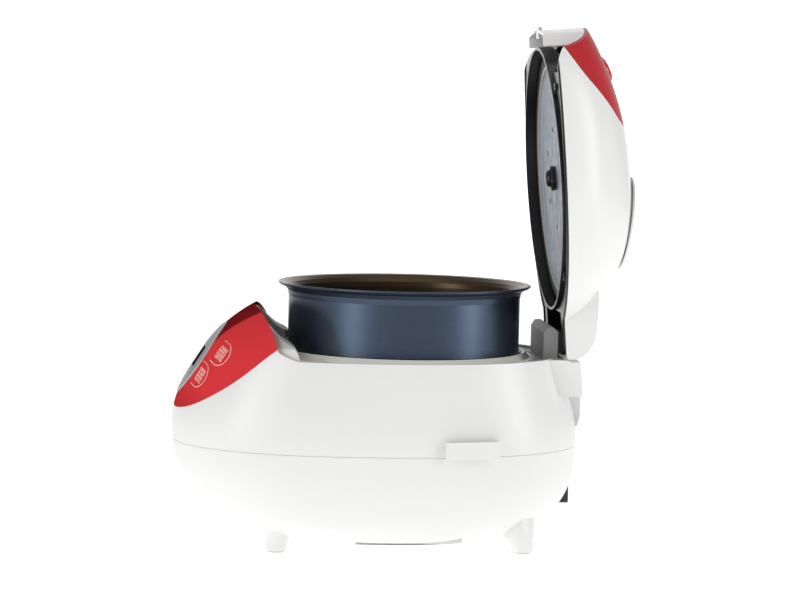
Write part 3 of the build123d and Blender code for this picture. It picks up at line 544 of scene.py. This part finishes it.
def finish_cad_nodes():
    """Gives every node its own finish, or else the finish of its slot."""
    slots = {row["node"]: row["material_slot"] for row in frame["record"]["subparts"]}
    slots.update(SPECIAL)
    for name, node in frame["nodes"].items():
        material = FINISHES[slots[name]].material
        for slot in node.material_slots:
            slot.material = material


# ---- added pieces ----
def turned(name, profile, place, body, finish, steps=96):
    """A turned piece from (radius, height) points in mm, set at place and riding a body."""
    mesh = bpy.data.meshes.new(name)
    bm = bmesh.new()
    ring = [bm.verts.new((r * MM, 0, h * MM)) for r, h in profile]
    for a, b in zip(ring, ring[1:]):
        bm.edges.new((a, b))
    bmesh.ops.spin(bm, geom=bm.verts[:] + bm.edges[:], cent=(0, 0, 0), axis=(0, 0, 1),
                   angle=2 * math.pi, steps=steps, use_merge=True)
    bmesh.ops.remove_doubles(bm, verts=bm.verts[:], dist=1e-7)
    bmesh.ops.recalc_face_normals(bm, faces=bm.faces[:])
    bmesh.ops.transform(bm, matrix=place, verts=bm.verts)
    for face in bm.faces:
        face.smooth = True
    bm.to_mesh(mesh)
    bm.free()
    piece = bpy.data.objects.new(name, mesh)
    bpy.context.collection.objects.link(piece)
    mesh.materials.append(FINISHES[finish].material)
    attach(piece, body)


def lid_seat(y, z, lean):
    """A frame on the lid's centre line, leaning from vertical, as it stands once the lid has swung open."""
    shut = Matrix.Translation((0, y, z)) @ Matrix.Rotation(math.radians(lean), 4, "X")
    about = Matrix.Translation(HINGE)
    return about @ Matrix.Rotation(-OPEN_ANGLE, 4, "X") @ about.inverted() @ shut


def button_dome():
    """The domed red cap of the open button, and the bright rim round it."""
    seat = lid_seat(*BUTTON_SEAT)
    dome = [(0.0, 5.2), (3.5, 5.1), (7.0, 4.8), (10.0, 4.1), (12.0, 2.9), (12.9, 1.2), (13.1, -1.6),
            (0.0, -1.6)]
    turned("button_dome", dome, seat, "open_button", "red_button")
    rim = [(13.9, -1.2), (15.4, -1.2), (15.5, 0.5), (15.0, 0.95), (14.3, 0.95), (13.9, 0.5), (13.9, -1.2)]
    turned("button_rim", rim, seat, "lid", "casing_steel")


def steam_lip():
    """The rounded lip at the steam cap's edge."""
    lip = [(39.4, 0.6), (41.0, 0.1), (41.2, 0.5), (40.2, 1.3), (36.2, 2.2), (35.8, 1.9), (39.4, 0.6)]
    turned("steam_cap_lip", lip, lid_seat(*STEAM_CAP_SEAT), "steam_cap", "white_shell")


def pot_bead():
    """The rolled edge of the pot's rim."""
    turns = [2 * math.pi * k / BEAD_STEPS for k in range(BEAD_STEPS + 1)]
    loop = [(BEAD_RING_MM + BEAD_R_MM * math.cos(a), BEAD_HEIGHT_MM + BEAD_R_MM * math.sin(a)) for a in turns]
    turned("pot_rim_bead", loop, Matrix.Identity(4), "inner_pot", "pot_coat", 160)


def knob_crown():
    """The rounded crown of the knob that holds the inner plate."""
    crown = [(0.0, -8.6), (4.2, -8.4), (6.6, -7.4), (7.4, -6.0), (7.6, -4.7), (0.0, -4.7)]
    turned("knob_crown", crown, lid_seat(*KNOB_SEAT), "lid", "black_plastic", 64)


# ---- stage, light and camera ----
def stage_plane(name, size, turn, place, glow):
    """A plain pale plane for the floor or backdrop."""
    mesh = bpy.data.meshes.new(name)
    bm = bmesh.new()
    bmesh.ops.create_grid(bm, x_segments=1, y_segments=1, size=size)
    bmesh.ops.transform(bm, matrix=Matrix.Translation(place) @ Matrix.Rotation(turn, 4, "Y"), verts=bm.verts)
    bm.to_mesh(mesh)
    bm.free()
    plane = bpy.data.objects.new(name, mesh)
    bpy.context.collection.objects.link(plane)
    f = Finish("pale_" + name)
    f.set("Base Color", f.blend(f.noise(3.0), (0.86, 0.86, 0.86), (0.90, 0.90, 0.90)))
    f.settle(Roughness=0.9, Emission_Color=(1.0, 1.0, 1.0), Emission_Strength=glow)
    mesh.materials.append(f.material)


def lamp(name, place, aim, size, power):
    """A soft rectangular lamp turned toward its aim."""
    data = bpy.data.lights.new(name, "AREA")
    data.shape = "RECTANGLE"
    data.size, data.size_y = size
    data.energy = power
    light = bpy.data.objects.new(name, data)
    light.location = place
    light.rotation_euler = (Vector(aim) - Vector(place)).to_track_quat("-Z", "Y").to_euler()
    bpy.context.collection.objects.link(light)


def studio():
    """An even pale surround with a soft lamp in front, behind and above."""
    world = bpy.data.worlds.new("studio")
    world.use_nodes = True
    background = world.node_tree.nodes["Background"].inputs
    background["Color"].default_value = (1, 1, 1, 1)
    background["Strength"].default_value = 0.30
    bpy.context.scene.world = world
    body = (0, 0, 0.2)
    lamp("front_softbox", place=(1.25, -1.75, 0.75), aim=body, size=(0.8, 1.6), power=17.0)
    lamp("rear_softbox", place=(0.95, 1.95, 0.75), aim=body, size=(0.7, 1.6), power=17.5)
    lamp("top_softbox", place=(0.2, 0.0, 2.2), aim=(0, 0, 0.1), size=(2.0, 2.0), power=7.0)
    bpy.context.scene.view_settings.view_transform = "Standard"


def camera():
    """A long lens a little above the deck, looking at the cooker's right side."""
    azimuth, elevation, roll = (math.radians(a) for a in (85.5, 4.56, 1.29))
    target = Vector((0.0, -0.00368, 0.2094))
    distance = 2.210
    back = Vector((math.sin(azimuth) * math.cos(elevation), -math.cos(azimuth) * math.cos(elevation),
                   math.sin(elevation)))
    data = bpy.data.cameras.new("camera")
    data.sensor_width = 36.0
    data.lens = 113.76
    cam = bpy.data.objects.new("camera", data)
    cam.location = target + back * distance
    level = (-back).to_track_quat("-Z", "Y").to_matrix()
    cam.rotation_euler = (level @ Matrix.Rotation(roll, 3, "Z")).to_euler()
    bpy.context.collection.objects.link(cam)
    bpy.context.scene.camera = cam


finish_cad_nodes()
button_dome()
steam_lip()
pot_bead()
knob_crown()
stage_plane("floor", size=5.0, turn=0.0, place=(0, 0, 0), glow=0.58)
stage_plane("backdrop", size=2.2, turn=math.pi / 2, place=(-4.0, 0, 1.2), glow=0.85)
studio()
camera()
